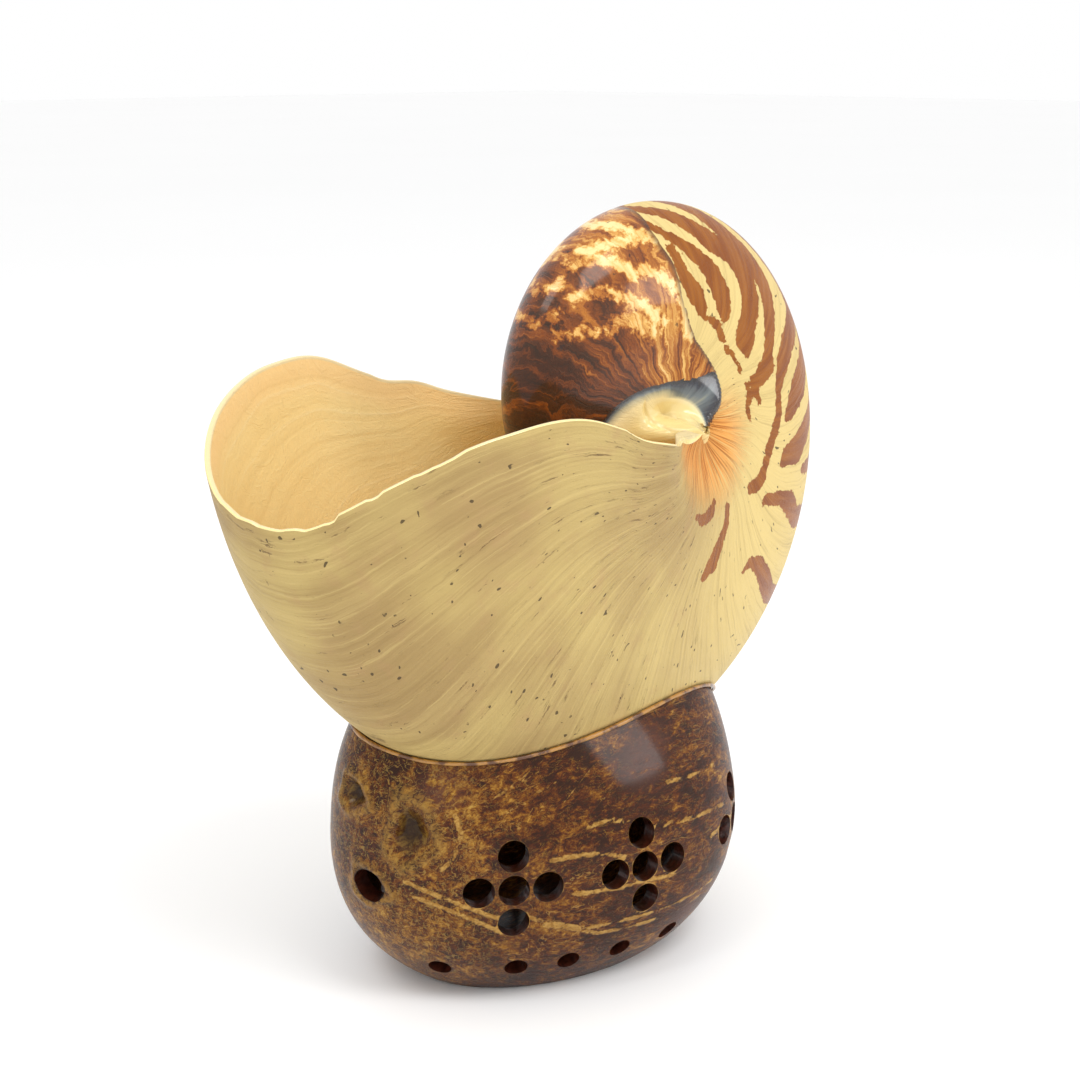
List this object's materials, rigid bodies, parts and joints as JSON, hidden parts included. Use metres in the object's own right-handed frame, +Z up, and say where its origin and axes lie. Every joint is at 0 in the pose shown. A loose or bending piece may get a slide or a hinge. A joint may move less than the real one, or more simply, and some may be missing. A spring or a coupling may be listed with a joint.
{
  "type": "nautilus shell on a coconut stand",
  "caption": "Whole nautilus shell with its opening up, glued on a hollow stand made from a drilled and varnished coconut shell.",
  "frame": {"origin": "middle of the flat that the stand is ground to, on the surface it stands on", "axes": "+Z up; the shell's opening faces -X; +Y along the coil's axis, away from the side that the picture shows"},
  "size_m": [0.1845, 0.0883, 0.183],
  "materials": {
    "shell": "satin",
    "coconut": "gloss",
    "glue": "gloss"
  },
  "bodies": {
    "root": {"nautilus_shell": "shell", "coconut_stand": "coconut", "glue_bead": "glue"}
  },
  "joints": []
}
